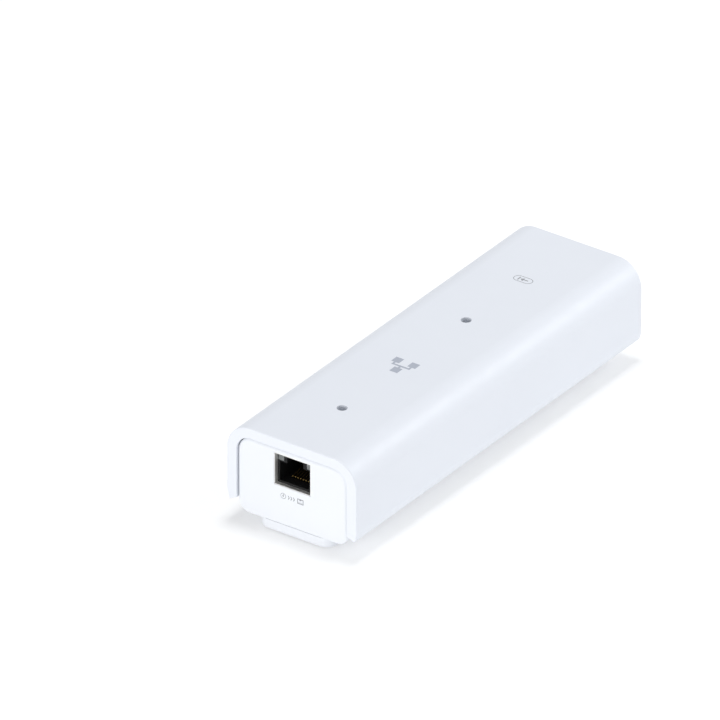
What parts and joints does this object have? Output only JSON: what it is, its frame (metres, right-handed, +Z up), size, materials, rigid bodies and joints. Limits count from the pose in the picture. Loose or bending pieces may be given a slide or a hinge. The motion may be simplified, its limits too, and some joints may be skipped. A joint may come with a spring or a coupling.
{
  "type": "poe injector",
  "caption": "Slim white inline power-over-Ethernet unit: a thick wrap-over shell on a recessed tray with a network socket in each end, on a slide-off wall bracket.",
  "frame": {"origin": "centre of the footprint, on the surface that the unit stands on", "axes": "+X across the unit; +Y along it, away from the power output end; +Z up"},
  "size_m": [0.05, 0.1572, 0.0353],
  "materials": {
    "white_plastic": "fine satin moulding",
    "white_base": "fine satin moulding",
    "socket_black": "moulded",
    "socket_shield": "nickel-plated sheet",
    "contact_gold": "gold-plated",
    "tinned_metal": "tinned",
    "window_clear": "frosted clear",
    "lamp": "moulded lens",
    "screw_steel": "zinc-plated",
    "board": "glass laminate with solder mask",
    "insulating_film": "frosted film",
    "ferrite": "ground ferrite",
    "former_plastic": "moulded",
    "copper_wire": "enamelled copper",
    "tape": "polyester tape",
    "can_aluminium": "drawn can",
    "seal_rubber": "moulded",
    "pad_rubber": "moulded",
    "chip_black": "moulded epoxy",
    "fuse_ceramic": "fired",
    "disc_blue": "dipped epoxy",
    "sink_black": "black anodised",
    "thermal_silicone": "soft silicone",
    "chip_tan": "fired"
  },
  "bodies": {
    "casing": {"base_tray": "white_base", "board_screws": "screw_steel", "bridge_rectifiers": "chip_black", "capacitor_cans": "can_aluminium", "capacitor_seals": "seal_rubber", "case_screws": "screw_steel", "chip_capacitors": "chip_tan", "chip_resistors": "chip_black", "choke_base": "former_plastic", "choke_core": "ferrite", "choke_windings": "copper_wire", "controller_leads": "tinned_metal", "crystal": "tinned_metal", "front_jack_insulator": "socket_black", "front_jack_lamps": "lamp", "front_jack_light_pipes": "window_clear", "front_jack_shield": "socket_shield", "front_jack_tails": "tinned_metal", "front_magnetics": "chip_black", "front_magnetics_leads": "tinned_metal", "fuse_caps": "tinned_metal", "fuse_tube": "fuse_ceramic", "heat_sink": "sink_black", "insulating_sheet": "insulating_film", "isolation_capacitor": "disc_blue", "main_board": "board", "modem_chip": "chip_black", "modem_sink": "sink_black", "optocoupler": "chip_black", "poe_controller": "chip_black", "power_inductor": "ferrite", "power_transistors": "chip_black", "rear_jack_insulator": "socket_black", "rear_jack_lamps": "lamp", "rear_jack_light_pipes": "window_clear", "rear_jack_shield": "socket_shield", "rear_jack_tails": "tinned_metal", "rear_magnetics": "chip_black", "rear_magnetics_leads": "tinned_metal", "sink_screws": "screw_steel", "surge_diodes": "chip_black", "thermal_pad": "thermal_silicone", "top_shell": "white_plastic", "transformer_core": "ferrite", "transformer_former": "former_plastic", "transformer_tape": "tape", "transformer_winding": "copper_wire", "transistor_leads": "tinned_metal"},
    "bracket": {"wall_bracket": "white_base", "rubber_pads": "pad_rubber"},
    "front_contacts": {"front_jack_contacts": "contact_gold"},
    "rear_contacts": {"rear_jack_contacts": "contact_gold"}
  },
  "joints": [
    {"name": "bracket_slide", "type": "slide", "parent": "casing", "child": "bracket", "axis": [0, 1, 0], "range_m": [0, 0.15]},
    {"name": "front_contacts_press", "type": "hinge", "parent": "casing", "child": "front_contacts", "pos_m": [0, -0.07255, 0.01947], "axis": [-1, 0, 0], "range_deg": [0, 11], "stiffness_Nm_per_rad": 0.4},
    {"name": "rear_contacts_press", "type": "hinge", "parent": "casing", "child": "rear_contacts", "pos_m": [0, 0.07255, 0.01947], "axis": [1, 0, 0], "range_deg": [0, 11], "stiffness_Nm_per_rad": 0.4}
  ]
}
